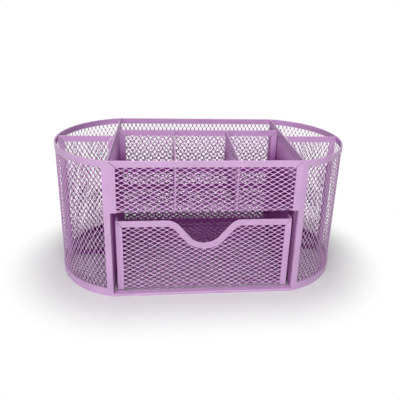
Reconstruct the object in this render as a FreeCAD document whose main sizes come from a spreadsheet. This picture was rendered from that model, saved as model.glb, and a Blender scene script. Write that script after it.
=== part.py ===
"""Mesh pen stand with a drawer.

Expanded-metal sheets are held in folded steel strips and stand on a rimmed base. Two partitions
and a middle wall divide the stand into end pockets, a rear compartment and three pen compartments
over a drawer bay. The drawer slides out at the front.

Millimetres. +X to the right, +Y to the back, +Z up. The origin is on the ground, at the middle of
the plan, and the drawer is shut.
"""
import FreeCAD, Part
import math
import os
import Sketcher

Vector = FreeCAD.Vector
Rotation = FreeCAD.Rotation

DIMENSIONS = [
    ("overall_width", 220.0, "end to end"),
    ("overall_depth", 112.0, "front to back"),
    ("overall_height", 105.0, "ground to rim"),
    ("end_bulge", 44.0, "how far each bowed end stands out past the straight front"),
    ("strip_width", 4.6, "face width of the folded edge strips"),
    ("strip_gauge", 0.3, "metal of the folded strips"),
    ("sheet_thickness", 0.5, "expanded-metal sheet, and the slot that grips it"),
    ("edge_radius", 0.3, "softened long edges of the strips"),
    ("mitre_slit", 0.45, "open line left where a strip is notched and turned round a corner"),
    ("base_height", 2.0, "thickness of the base rim"),
    ("base_rim_width", 5.0, "how far the base rim reaches inwards"),
    ("base_edge_radius", 0.5, "softened edges of the base rim"),
    ("rear_compartment_depth", 35.4, "clear depth between the back and the middle wall"),
    ("middle_wall_gap", 1.25, "open line between the middle wall and each partition"),
    ("pocket_divider_shift", 1.8, "how far the end pockets' dividers stand behind the middle"),
    ("shelf_height", 67.2, "underside of the shelf over the drawer"),
    ("fold_radius", 1.2, "outer radius of a folded sheet"),
    ("seat_gap", 0.15, "gap left for the weld where a divider meets a wall"),
    ("drawer_recess", 5.2, "how far the shut drawer's face lies behind the front"),
    ("drawer_height", 55.9, "drawer from its underside to its rim"),
    ("drawer_side_gap", 2.5, "running gap between the drawer and each partition"),
    ("drawer_base_gap", 0.4, "running gap under the drawer"),
    ("drawer_back_gap", 0.6, "gap behind the shut drawer"),
    ("drawer_corner_radius", 1.5, "rounded lower corners of the drawer's face"),
    ("notch_half_width", 27.3, "middle of the drawer's face to where its rim starts to dip"),
    ("notch_depth", 18.3, "dip of the rim at the finger notch"),
    ("notch_shoulder_radius", 12.0, "outer rim where the notch starts"),
    ("notch_bottom_radius", 13.8, "outer rim at the bottom of the notch"),
    ("opening_length", 24.0, "long way of the sheets' diamonds, from one to the next"),
    ("opening_height", 14.0, "short way of the sheets' diamonds, from one to the next"),
    ("strand_width", 2.0, "metal left between two diamonds"),
    ("opening_margin", 1.0, "plain sheet between its strip or fold and the diamonds"),
]

# Sizes that follow from the driving dimensions, as spreadsheet expressions.
GAUGE = "dims.strip_gauge"
SHEET = "dims.sheet_thickness"
WIDTH = "dims.strip_width"
STRIP = "(2 * dims.strip_gauge + dims.sheet_thickness)"
HALF_DEPTH = "(dims.overall_depth / 2)"
STRAIGHT = "(dims.overall_width / 2 - dims.end_bulge)"
END_RADIUS = f"(({HALF_DEPTH} ^ 2 + dims.end_bulge ^ 2) / (2 * dims.end_bulge))"
END_CENTRE = f"(dims.overall_width / 2 - {END_RADIUS})"
END_HALF_ANGLE = f"asin({HALF_DEPTH} / {END_RADIUS})"
JOINT_X = f"({STRAIGHT} - {STRIP} * ({STRAIGHT} - {END_CENTRE}) / {END_RADIUS})"
END_TAPER = f"({STRIP} * ({STRAIGHT} - {END_CENTRE}) / {HALF_DEPTH})"
PARTITION_X = f"({JOINT_X} + {STRIP})"
PARTITION_END_Y = (
    f"(sqrt(({END_RADIUS} - {STRIP}) ^ 2 - ({PARTITION_X} - {END_CENTRE}) ^ 2) - dims.seat_gap)"
)
MIDDLE_HALF = f"({JOINT_X} - dims.middle_wall_gap)"
FRONT_Y = f"(-{HALF_DEPTH})"
FRONT_INNER_Y = f"({STRIP} - {HALF_DEPTH})"
BACK_INNER_Y = f"({HALF_DEPTH} - {STRIP})"
MIDDLE_BACK_Y = f"({BACK_INNER_Y} - dims.rear_compartment_depth)"
MIDDLE_FRONT_Y = f"({MIDDLE_BACK_Y} - {STRIP})"
WALL_BOTTOM = "dims.base_height"
SHELF_TOP = f"(dims.shelf_height + {SHEET})"
PANEL_HEIGHT = "(dims.overall_height - dims.shelf_height)"
BASE_GAUGE = f"((dims.base_height - {SHEET}) / 2)"

DRAWER_FRONT_Y = "(dims.drawer_recess - dims.overall_depth / 2)"
DRAWER_FACE_BACK_Y = f"({DRAWER_FRONT_Y} + {STRIP})"
DRAWER_SHEET_Y = f"({DRAWER_FRONT_Y} + {GAUGE})"
DRAWER_END_Y = f"({MIDDLE_FRONT_Y} - dims.drawer_back_gap)"
DRAWER_SHEET_END_Y = f"({DRAWER_END_Y} - {GAUGE})"
DRAWER_RIM_END_Y = f"({DRAWER_END_Y} - {STRIP})"
DRAWER_HALF = f"({JOINT_X} - dims.drawer_side_gap)"
DRAWER_SHEET_HALF = f"({DRAWER_HALF} - {GAUGE})"
DRAWER_BOTTOM = "(dims.base_height + dims.drawer_base_gap)"
DRAWER_FLOOR_TOP = f"({DRAWER_BOTTOM} + {SHEET})"
DRAWER_TOP = f"({DRAWER_BOTTOM} + dims.drawer_height)"
DRAWER_SHEET_TOP = f"({DRAWER_TOP} - {GAUGE})"
NOTCH_CENTRE_Z = f"({DRAWER_TOP} - dims.notch_depth + dims.notch_bottom_radius)"

# A sheet's edge lies inside its strip. The diamonds keep clear of the strip and of the folds.
STRIP_MARGIN = f"({WIDTH} - {GAUGE} + dims.opening_margin)"
FOLD_MARGIN = "(dims.fold_radius + dims.opening_margin)"
# A staggered grid ends half a cell beyond its last whole one.
HALF_CELL = 0.5

PLANES = {"X": "YZ_Plane", "Y": "XZ_Plane", "Z": "XY_Plane"}  # origin plane across each axis

ROUNDING_LIMIT = 0.45  # largest edge radius, as a share of the thickness it rounds
SMALLEST_BEND = 0.1  # least radius inside a fold, in millimetres
NEAR = 1e-4  # how closely an edge's middle is matched when edges are picked by place

doc = FreeCAD.newDocument("pen_stand")
dims = doc.addObject("Spreadsheet::Sheet", "dims")
for row, (alias, size, meaning) in enumerate(DIMENSIONS, start=1):
    dims.set(f"A{row}", alias)
    dims.set(f"B{row}", str(size))
    dims.set(f"C{row}", meaning)
    dims.setAlias(f"B{row}", alias)
doc.recompute()

sub_parts = []


def number_of(expression):
    """Present value of an expression, in millimetres or degrees."""
    return float(dims.evalExpression(expression.replace("dims.", "")))


def keep(item, label):
    """Name a finished sub-part; its file takes the same name."""
    item.Label = label
    sub_parts.append(item)
    return item


def place(item, x, y, z, turn=0.0):
    """Stand an object at a bound position, turned about +Z by a fixed number of degrees."""
    item.Placement = FreeCAD.Placement(Vector(), Rotation(Vector(0, 0, 1), turn))
    for axis, expression in zip("xyz", (x, y, z)):
        item.setExpression(f"Placement.Base.{axis}", expression)


def box(name, low, size):
    """A box from its lowest corner and its three sizes, all expressions."""
    item = doc.addObject("Part::Box", name)
    for side, expression in zip(("Length", "Width", "Height"), size):
        item.setExpression(side, expression)
    place(item, *low)
    return item


def cut(name, base, tools):
    """Base less all the tools."""
    tool = tools[0]
    if len(tools) > 1:
        tool = doc.addObject("Part::MultiFuse", f"{name}_tools")
        tool.Shapes = tools
    result = doc.addObject("Part::Cut", name)
    result.Base = base
    result.Tool = tool
    return result


def fuse(name, shapes):
    """One solid from pieces that touch."""
    result = doc.addObject("Part::MultiFuse", name)
    result.Shapes = shapes
    result.Refine = True
    return result


def softened(item, radius, chosen=None):
    """Round the chosen edges, or all of them, never past the middle of the strip."""
    doc.recompute()
    edges = [
        (number, radius, radius)
        for number, edge in enumerate(item.Shape.Edges, start=1)
        if chosen is None or chosen(edge)
    ]
    result = doc.addObject("Part::Fillet", f"{item.Name}_softened")
    result.Base = item
    result.Edges = edges
    return result


def strip_radius():
    """Edge radius of the strips, limited by their thickness."""
    thickness = 2 * dims.strip_gauge + dims.sheet_thickness
    return min(dims.edge_radius, ROUNDING_LIMIT * thickness)


def along(edge, axis):
    """True for a straight edge that runs along an axis."""
    if edge.Curve.TypeId != "Part::GeomLine":
        return False
    return abs(abs(edge.Curve.Direction.dot(axis)) - 1.0) < NEAR


def lengthwise(edge):
    """True for a straight edge along X."""
    return along(edge, Vector(1, 0, 0))


def tapered_slab(name, width, height):
    """Slab as thick as a strip; its ends lie against the faces of the bowed walls' strips."""
    slab = doc.addObject("Part::Wedge", name)
    sizes = {
        "Xmin": "0",
        "Xmax": width,
        "X2min": END_TAPER,
        "X2max": f"{width} - {END_TAPER}",
        "Ymin": "0",
        "Ymax": STRIP,
        "Zmin": "0",
        "Zmax": height,
        "Z2min": "0",
        "Z2max": height,
    }
    for side, expression in sizes.items():
        slab.setExpression(side, expression)
    return slab


def mitre(name, corner_x, corner_z, angle):
    """Slit from near a strip's outer corner to its window, turned about +Y by an angle.

    It leaves the folded edge whole, so the strip stays one piece.
    """
    slit = doc.addObject("Part::Box", name)
    slit.setExpression("Length", f"sqrt(2) * ({WIDTH} - {GAUGE})")
    slit.setExpression("Width", f"3 * {STRIP}")
    slit.setExpression("Height", "dims.mitre_slit")
    slit.Placement = FreeCAD.Placement(Vector(), Rotation(Vector(0, 1, 0), angle))
    half = "(dims.mitre_slit / 2)"
    step_x = f"(2 * {GAUGE} * {math.copysign(1, math.cos(math.radians(angle))):g})"
    step_z = f"(2 * {GAUGE} * {math.copysign(1, -math.sin(math.radians(angle))):g})"
    slit.setExpression("Placement.Base.x", f"{corner_x} + {step_x} - {half} * sin({angle})")
    slit.setExpression("Placement.Base.y", f"-{STRIP}")
    slit.setExpression("Placement.Base.z", f"{corner_z} + {step_z} - {half} * cos({angle})")
    return slit


def flat_frame(label, width, height, position, turn=0.0, folded_below=False):
    """Strip folded round a flat sheet.

    It is built with its low corner at the origin, its width along +X and its thickness along +Y.
    Where the sheet is folded away below, the strip has no lower run, its back is notched clear
    of the fold, and its tapered ends stay sharp because they meet the end walls' strips.
    """
    if folded_below:
        blank = tapered_slab(f"{label}_blank", width, height)
        blank = softened(blank, strip_radius(), lengthwise)
        lower = slot_lower = f"-{WIDTH}"
        slot_side = f"({GAUGE} + {END_TAPER})"
    else:
        blank = box(f"{label}_blank", ("0", "0", "0"), (width, STRIP, height))
        blank = softened(blank, strip_radius())
        lower = WIDTH
        slot_lower = slot_side = GAUGE
    tools = [
        box(
            f"{label}_window",
            (WIDTH, f"-{STRIP}", lower),
            (f"{width} - 2 * {WIDTH}", f"3 * {STRIP}", f"{height} - {WIDTH} - {lower}"),
        ),
        box(
            f"{label}_slot",
            (slot_side, GAUGE, slot_lower),
            (f"{width} - 2 * {slot_side}", SHEET, f"{height} - {GAUGE} - {slot_lower}"),
        ),
        mitre(f"{label}_mitre_1", "0", height, 45),
        mitre(f"{label}_mitre_2", width, height, 135),
    ]
    if folded_below:
        tools.append(
            box(
                f"{label}_fold_notch",
                (f"-{WIDTH}", GAUGE, f"-{WIDTH}"),
                (f"{width} + 2 * {WIDTH}", STRIP, f"{WIDTH} + dims.fold_radius"),
            )
        )
    else:
        tools.append(mitre(f"{label}_mitre_3", "0", "0", -45))
        tools.append(mitre(f"{label}_mitre_4", width, "0", -135))
    frame = cut(label, blank, tools)
    place(frame, *position, turn)
    return keep(frame, label)


def cross_panel(label, low_x, high_x, front_y, low_z, high_z, upright=False):
    """Framed sheet that stands across the stand, along X."""
    flat_frame(
        f"{label}_frame", f"({high_x} - {low_x})", f"({high_z} - {low_z})", (low_x, front_y, low_z)
    )
    mesh = sheet(
        f"{label}_mesh",
        "Y",
        (f"{low_x} + {GAUGE}", f"{front_y} + {GAUGE}", f"{low_z} + {GAUGE}"),
        (f"({high_x} - {low_x} - 2 * {GAUGE})", f"({high_z} - {low_z} - 2 * {GAUGE})"),
        upright=upright,
    )
    keep(mesh, f"{label}_mesh")


def deep_panel(label, right_x, low_y, high_y, low_z, high_z, upright=False):
    """Framed sheet that stands front to back, along Y."""
    flat_frame(
        f"{label}_frame",
        f"({high_y} - {low_y})",
        f"({high_z} - {low_z})",
        (right_x, low_y, low_z),
        turn=90.0,
    )
    mesh = sheet(
        f"{label}_mesh",
        "X",
        (f"{right_x} - {GAUGE} - {SHEET}", f"{low_y} + {GAUGE}", f"{low_z} + {GAUGE}"),
        (f"({high_y} - {low_y} - 2 * {GAUGE})", f"({high_z} - {low_z} - 2 * {GAUGE})"),
        upright=upright,
    )
    keep(mesh, f"{label}_mesh")


def origin_plane(body, role):
    """One of a body's own origin planes."""
    for feature in body.Origin.OriginFeatures:
        if feature.Role == role:
            return feature
    raise ValueError(role)


def new_sketch(body, name, role, offset=None, swing=None, middle=None):
    """Sketch on one of the body's origin planes.

    It is raised by a bound offset along its normal, swung by a bound angle about its own upright
    axis, and its middle is moved to a bound place in the plane.
    """
    sketch = body.newObject("Sketcher::SketchObject", name)
    sketch.AttachmentSupport = [(origin_plane(body, role), "")]
    sketch.MapMode = "FlatFace"
    if offset is not None:
        sketch.setExpression("AttachmentOffset.Base.z", offset)
    if middle is not None:
        sketch.setExpression("AttachmentOffset.Base.x", middle[0])
        sketch.setExpression("AttachmentOffset.Base.y", middle[1])
    if swing is not None:
        upright = Rotation(Vector(0, 1, 0), number_of(swing))
        sketch.AttachmentOffset = FreeCAD.Placement(Vector(), upright)
        sketch.setExpression("AttachmentOffset.Rotation.Angle", swing)
    return sketch


def bound(sketch, name, expression, *constraint):
    """Add a named size to a sketch and tie it to an expression."""
    index = sketch.addConstraint(Sketcher.Constraint(*constraint))
    sketch.renameConstraint(index, name)
    sketch.setExpression(f"Constraints.{name}", expression)


def add_loop(sketch, corners):
    """Four lines from corner to corner. Returns the first line's number."""
    first = sketch.GeometryCount
    for start, end in zip(corners, corners[1:] + corners[:1]):
        sketch.addGeometry(Part.LineSegment(start, end), False)
    for line in range(4):
        joined = first + (line + 1) % 4
        sketch.addConstraint(Sketcher.Constraint("Coincident", first + line, 2, joined, 1))
    return first


def add_rectangle(sketch, low, high):
    """Level rectangle. Its size and place are left to be bound."""
    add_loop(sketch, [Vector(low, low), Vector(high, low), Vector(high, high), Vector(low, high)])
    for line in range(4):
        sketch.addConstraint(Sketcher.Constraint("Vertical" if line % 2 else "Horizontal", line))


def section_sketch(body, name, low_x, high_x, low_y, high_y, swing=None):
    """Upright rectangle beside the turning axis, in the body's XZ plane or swung from it."""
    sketch = new_sketch(body, name, "XZ_Plane", swing=swing)
    add_rectangle(sketch, 1.0, 2.0)
    bound(sketch, "low_x", low_x, "DistanceX", -1, 1, 0, 1, 1.0)
    bound(sketch, "high_x", high_x, "DistanceX", -1, 1, 1, 1, 2.0)
    bound(sketch, "low_y", low_y, "DistanceY", -1, 1, 0, 1, 1.0)
    bound(sketch, "high_y", high_y, "DistanceY", -1, 1, 2, 1, 2.0)
    return sketch


def diamond(sketch, name, middle_x, middle_y, wide, tall):
    """Add a diamond about a middle that is bound from the sketch's origin."""
    first = add_loop(sketch, [Vector(1, 2), Vector(2, 1), Vector(3, 2), Vector(2, 3)])
    middle = sketch.addGeometry(Part.Point(Vector(2, 2)), True)
    rules = [
        ("Horizontal", first, 1, first + 2, 1),
        ("Vertical", first + 1, 1, first + 3, 1),
        ("Symmetric", first, 1, first + 2, 1, middle, 1),
        ("Symmetric", first + 1, 1, first + 3, 1, middle, 1),
    ]
    for rule in rules:
        sketch.addConstraint(Sketcher.Constraint(*rule))
    bound(sketch, f"{name}_x", middle_x, "DistanceX", -1, 1, middle, 1, 2.0)
    bound(sketch, f"{name}_y", middle_y, "DistanceY", -1, 1, middle, 1, 2.0)
    bound(sketch, f"{name}_wide", wide, "DistanceX", first, 1, first + 2, 1, 2.0)
    bound(sketch, f"{name}_tall", tall, "DistanceY", first + 1, 1, first + 3, 1, 2.0)


def first_openings(body, label, role, low, pitch_x, pitch_y, swing=None):
    """Cut the first two diamonds of a staggered grid, half a cell apart each way."""
    sketch = new_sketch(body, f"{label}_cell", role, swing=swing, middle=low)
    diagonal = f"sqrt({pitch_x} ^ 2 + {pitch_y} ^ 2)"
    # An opening is its cell less the strand between it and the next one.
    share = f"(1 - dims.strand_width * {diagonal} / ({pitch_x} * {pitch_y}))"
    size = (f"{share} * {pitch_x}", f"{share} * {pitch_y}")
    diamond(sketch, "near", f"{pitch_x} / 2", f"{pitch_y} / 2", *size)
    diamond(sketch, "far", pitch_x, pitch_y, *size)
    pocket = body.newObject("PartDesign::Pocket", f"{label}_openings")
    pocket.Profile = sketch
    pocket.Type = "ThroughAll"
    pocket.Reversed = role != "XZ_Plane"
    pocket.Refine = False
    return sketch, pocket


def cells(span, pitch):
    """How many cells of about the given pitch fit a span that ends on half a cell."""
    return max(1, round(number_of(span) / pitch - HALF_CELL))


def repeated(pattern, direction, pitch, count, second=""):
    """Set one direction of a linear pattern."""
    setattr(pattern, f"Direction{second}", direction)
    setattr(pattern, f"Mode{second}", "Spacing")
    setattr(pattern, f"Occurrences{second}", count)
    pattern.setExpression(f"Offset{second}", pitch)


def openwork(body, label, role, low, span, upright=False):
    """Staggered grid of diamonds through a flat sheet, over a span from a low corner."""
    pitches = [dims.opening_length, dims.opening_height]
    if upright:
        pitches.reverse()
    columns, rows = cells(span[0], pitches[0]), cells(span[1], pitches[1])
    pitch_x = f"({span[0]} / {columns + HALF_CELL})"
    pitch_y = f"({span[1]} / {rows + HALF_CELL})"
    sketch, pocket = first_openings(body, label, role, low, pitch_x, pitch_y)
    if columns * rows > 1:
        pattern = body.newObject("PartDesign::LinearPattern", f"{label}_grid")
        pattern.Originals = [pocket]
        pattern.Refine = False
        repeated(pattern, (sketch, ["H_Axis"]), pitch_x, columns)
        repeated(pattern, (sketch, ["V_Axis"]), pitch_y, rows, second="2")
        body.Tip = pattern
    doc.recompute()


def rolled_openwork(body, label, start, sweep, low, height):
    """Staggered grid of upright diamonds through a curved sheet, about its upright axis."""
    arc = f"({END_RADIUS} * {sweep} * pi / 180 deg)"
    columns, rows = cells(arc, dims.opening_height), cells(height, dims.opening_length)
    pitch_x = f"({arc} / {columns + HALF_CELL})"
    pitch_y = f"({height} / {rows + HALF_CELL})"
    corner = ("0", low)
    sketch, pocket = first_openings(body, label, "YZ_Plane", corner, pitch_x, pitch_y, start)
    grid = body.newObject("PartDesign::MultiTransform", f"{label}_grid")
    grid.Originals = [pocket]
    grid.Refine = False
    around = body.newObject("PartDesign::PolarPattern", f"{label}_around")
    around.Axis = (sketch, ["V_Axis"])
    around.Mode = "Spacing"
    around.Occurrences = columns
    around.setExpression("Offset", f"{sweep} / {columns + HALF_CELL}")
    upward = body.newObject("PartDesign::LinearPattern", f"{label}_upward")
    repeated(upward, (sketch, ["V_Axis"]), pitch_y, rows)
    grid.Transformations = [around, upward]
    body.Tip = grid
    doc.recompute()


def sheet(
    name,
    facing,
    low,
    size,
    sides=STRIP_MARGIN,
    below=STRIP_MARGIN,
    above=STRIP_MARGIN,
    upright=False,
):
    """Flat sheet across one axis, from its bound low corner, open in diamonds within its borders."""
    width, height = size
    role = PLANES[facing]
    body = doc.addObject("PartDesign::Body", name)
    outline = new_sketch(body, f"{name}_outline", role)
    add_rectangle(outline, 0.0, 1.0)
    outline.addConstraint(Sketcher.Constraint("Coincident", 0, 1, -1, 1))
    bound(outline, "across", width, "DistanceX", 0, 1, 0, 2, 1.0)
    bound(outline, "up", height, "DistanceY", 1, 1, 1, 2, 1.0)
    plate = body.newObject("PartDesign::Pad", f"{name}_plate")
    plate.Profile = outline
    plate.Reversed = facing == "Y"
    plate.setExpression("Length", SHEET)
    doc.recompute()
    span = (f"({width} - 2 * {sides})", f"({height} - {below} - {above})")
    openwork(body, name, role, (sides, below), span, upright)
    place(body, *low)
    return body


def turned(body, kind, sketch, angle):
    """Revolution or groove about the body's upright axis, even about the sketch's plane."""
    feature = body.newObject(kind, f"{sketch.Name}_turn")
    feature.Profile = sketch
    feature.ReferenceAxis = (sketch, ["V_Axis"])
    feature.Midplane = True
    feature.setExpression("Angle", angle)
    sketch.Visibility = False
    return feature


def end_wall(side, direction):
    """Bowed end of the stand: a curved sheet with a strip along its top, foot and front edge.

    Its back edge has no strip, because it meets the back's sheet there.
    """
    outer = END_RADIUS
    turn = 0.0 if direction > 0 else 180.0
    centre_x = END_CENTRE if direction > 0 else f"-{END_CENTRE}"
    full_angle = f"2 * {END_HALF_ANGLE}"
    low = WALL_BOTTOM
    high = "dims.overall_height"

    def away(length, share):
        """Angle that a length along the wall takes up, swung towards the back."""
        return f"{direction * share} * 180 deg / pi * {length} / {outer}"

    frame = doc.addObject("PartDesign::Body", f"{side}_end_frame")
    blank = section_sketch(frame, f"{side}_end_blank", f"{outer} - {STRIP}", outer, low, high)
    blank_turn = turned(frame, "PartDesign::Revolution", blank, full_angle)
    doc.recompute()
    rounding = frame.newObject("PartDesign::Fillet", f"{side}_end_edges")
    rim_edges = [
        f"Edge{number}"
        for number, edge in enumerate(blank_turn.Shape.Edges, start=1)
        if edge.Curve.TypeId == "Part::GeomCircle"
    ]
    rounding.Base = (blank_turn, rim_edges)
    rounding.setExpression("Radius", f"min(dims.edge_radius; {ROUNDING_LIMIT} * {STRIP})")
    doc.recompute()
    window = section_sketch(
        frame,
        f"{side}_end_window",
        f"{outer} - 2 * {STRIP}",
        f"{outer} + {STRIP}",
        f"{low} + {WIDTH}",
        f"{high} - {WIDTH}",
        swing=away(WIDTH, 1),
    )
    turned(frame, "PartDesign::Groove", window, full_angle)
    doc.recompute()
    slot_section = (
        f"{outer} - {GAUGE} - {SHEET}",
        f"{outer} - {GAUGE}",
        f"{low} + {GAUGE}",
        f"{high} - {GAUGE}",
    )
    slot = section_sketch(frame, f"{side}_end_slot", *slot_section, swing=away(GAUGE, 1))
    turned(frame, "PartDesign::Groove", slot, full_angle)
    place(frame, centre_x, "0", "0", turn)
    keep(frame, f"{side}_end_frame")

    mesh = doc.addObject("PartDesign::Body", f"{side}_end_mesh")
    section = section_sketch(mesh, f"{side}_end_sheet", *slot_section, swing=away(GAUGE, 0.5))
    mesh_angle = f"{full_angle} - 180 deg / pi * {GAUGE} / {outer}"
    turned(mesh, "PartDesign::Revolution", section, mesh_angle)
    doc.recompute()
    borders = [f"({WIDTH} + dims.opening_margin)", "dims.opening_margin"]
    if direction < 0:
        borders.reverse()
    start = f"(180 deg / pi * {borders[0]} / {outer} - {END_HALF_ANGLE})"
    sweep = f"({full_angle} - 180 deg / pi * ({borders[0]} + {borders[1]}) / {outer})"
    margin = f"({WIDTH} + dims.opening_margin)"
    rolled_openwork(
        mesh, f"{side}_end", start, sweep, f"{low} + {margin}", f"({high} - {low} - 2 * {margin})"
    )
    place(mesh, centre_x, "0", "0", turn)
    keep(mesh, f"{side}_end_mesh")


def plan_sketch(body, name, inset, height):
    """Plan of the stand, drawn in by an inset: two straight runs and two bowed ends."""
    half_depth = dims.overall_depth / 2
    radius = (half_depth ** 2 + dims.end_bulge ** 2) / (2 * dims.end_bulge)
    centre = dims.overall_width / 2 - radius
    half = math.asin(half_depth / radius)
    corner = centre + radius * math.cos(half)
    sketch = new_sketch(body, name, "XY_Plane", height)
    up = Vector(0, 0, 1)
    front = Part.LineSegment(Vector(-corner, -half_depth, 0), Vector(corner, -half_depth, 0))
    right = Part.ArcOfCircle(Part.Circle(Vector(centre, 0, 0), up, radius), -half, half)
    back = Part.LineSegment(Vector(corner, half_depth, 0), Vector(-corner, half_depth, 0))
    left_circle = Part.Circle(Vector(-centre, 0, 0), up, radius)
    left = Part.ArcOfCircle(left_circle, math.pi - half, math.pi + half)
    for item in (front, right, back, left):
        sketch.addGeometry(item, False)
    for number in range(4):
        sketch.addConstraint(Sketcher.Constraint("Coincident", number, 2, (number + 1) % 4, 1))
    for line in (0, 2):
        sketch.addConstraint(Sketcher.Constraint("Horizontal", line))
    for arc in (1, 3):
        sketch.addConstraint(Sketcher.Constraint("PointOnObject", arc, 3, -1))
        bound(sketch, f"radius_{arc}", f"{END_RADIUS} - {inset}", "Radius", arc, radius)
    bound(sketch, "right_centre", END_CENTRE, "DistanceX", -1, 1, 1, 3, centre)
    bound(sketch, "left_centre", END_CENTRE, "DistanceX", 3, 3, -1, 1, centre)
    bound(sketch, "front", f"{HALF_DEPTH} - {inset}", "DistanceY", 0, 1, -1, 1, half_depth)
    bound(sketch, "back", f"{HALF_DEPTH} - {inset}", "DistanceY", -1, 1, 2, 1, half_depth)
    return sketch


def base():
    """Flat rim folded round the base sheet."""
    rim = doc.addObject("PartDesign::Body", "base_rim")
    outline = plan_sketch(rim, "base_outline", "0", "0")
    slab = rim.newObject("PartDesign::Pad", "base_slab")
    slab.Profile = outline
    slab.setExpression("Length", "dims.base_height")
    doc.recompute()
    rounding = rim.newObject("PartDesign::Fillet", "base_edges")
    rounding.Base = (
        slab,
        [
            f"Edge{number}"
            for number, edge in enumerate(slab.Shape.Edges, start=1)
            if not along(edge, Vector(0, 0, 1))
        ],
    )
    rounding.setExpression(
        "Radius", f"min(dims.base_edge_radius; {ROUNDING_LIMIT} * dims.base_height)"
    )
    doc.recompute()
    window = rim.newObject("PartDesign::Pocket", "base_window")
    window.Profile = plan_sketch(rim, "base_window_outline", "dims.base_rim_width", "dims.base_height")
    window.Type = "ThroughAll"
    doc.recompute()
    slot = rim.newObject("PartDesign::Pocket", "base_slot")
    slot.Profile = plan_sketch(
        rim, "base_slot_outline", BASE_GAUGE, f"dims.base_height - {BASE_GAUGE}"
    )
    slot.setExpression("Length", SHEET)
    keep(rim, "base_rim")

    mesh = doc.addObject("PartDesign::Body", "base_mesh")
    plate = mesh.newObject("PartDesign::Pad", "base_plate")
    plate.Profile = plan_sketch(mesh, "base_plate_outline", BASE_GAUGE, BASE_GAUGE)
    plate.setExpression("Length", SHEET)
    doc.recompute()
    margin = "(dims.base_rim_width + dims.opening_margin)"
    half_y = f"({HALF_DEPTH} - {margin})"
    openwork(
        mesh,
        "base_middle",
        "XY_Plane",
        (f"(-{STRAIGHT})", f"(-{half_y})"),
        (f"(2 * {STRAIGHT})", f"(2 * {half_y})"),
    )
    # The end grids are half as deep as the stand and reach the bowed rim at their corners.
    bow = f"sqrt(({END_RADIUS} - {margin}) ^ 2 - ({HALF_DEPTH} / 2) ^ 2)"
    end_span = f"({END_CENTRE} + {bow} - {STRAIGHT} - dims.opening_margin)"
    for side, low_x in (
        ("left", f"(-{STRAIGHT} - dims.opening_margin - {end_span})"),
        ("right", f"({STRAIGHT} + dims.opening_margin)"),
    ):
        low = (low_x, f"(-{HALF_DEPTH} / 2)")
        openwork(mesh, f"base_{side}", "XY_Plane", low, (end_span, HALF_DEPTH))
    keep(mesh, "base_mesh")


def folded(label, panels, folds):
    """Sheet folded from flat panels. Each fold is the (y, z) of its outer and inner corner."""
    flat = fuse(f"{label}_panels", panels)
    doc.recompute()
    inner_radius = max(dims.fold_radius - dims.sheet_thickness, SMALLEST_BEND)
    edges = []
    for number, edge in enumerate(flat.Shape.Edges, start=1):
        if not lengthwise(edge):
            continue
        middle = edge.CenterOfMass
        for outer, inner in folds:
            for (y, z), radius in ((outer, dims.fold_radius), (inner, inner_radius)):
                if abs(middle.y - y) < NEAR and abs(middle.z - z) < NEAR:
                    edges.append((number, radius, radius))
    result = doc.addObject("Part::Fillet", f"{label}_folds")
    result.Base = flat
    result.Edges = edges
    return result


def front_panel():
    """Upper front. Its sheet is folded into the shelf and then into the drawer bay's back."""
    flat_frame(
        "front_frame",
        f"(2 * {STRAIGHT})",
        PANEL_HEIGHT,
        (f"-{STRAIGHT}", FRONT_Y, "dims.shelf_height"),
        folded_below=True,
    )
    low_x = f"({GAUGE} + {END_TAPER} - {STRAIGHT})"
    width = f"(-2 * {low_x})"
    front_y = f"({FRONT_Y} + {GAUGE})"
    bay_y = f"({MIDDLE_FRONT_Y} + {GAUGE})"
    bay_end_y = f"({bay_y} + {SHEET})"
    riser = sheet(
        "front_riser",
        "Y",
        (low_x, front_y, "dims.shelf_height"),
        (width, f"({PANEL_HEIGHT} - {GAUGE})"),
        below=FOLD_MARGIN,
    )
    shelf = sheet(
        "front_shelf",
        "Z",
        (low_x, front_y, "dims.shelf_height"),
        (width, f"({bay_end_y} - {front_y})"),
        below=FOLD_MARGIN,
        above=FOLD_MARGIN,
    )
    bay_back = sheet(
        "front_bay_back",
        "Y",
        (low_x, bay_y, WALL_BOTTOM),
        (width, f"({SHELF_TOP} - {WALL_BOTTOM})"),
        below=FOLD_MARGIN,
        above=FOLD_MARGIN,
    )
    front_outer = (number_of(front_y), dims.shelf_height)
    front_inner = (number_of(f"({front_y} + {SHEET})"), number_of(SHELF_TOP))
    bay_outer = (number_of(bay_end_y), number_of(SHELF_TOP))
    bay_inner = (number_of(bay_y), dims.shelf_height)
    folds = [(front_outer, front_inner), (bay_outer, bay_inner)]
    keep(folded("front_mesh", [riser, shelf, bay_back], folds), "front_mesh")


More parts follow.
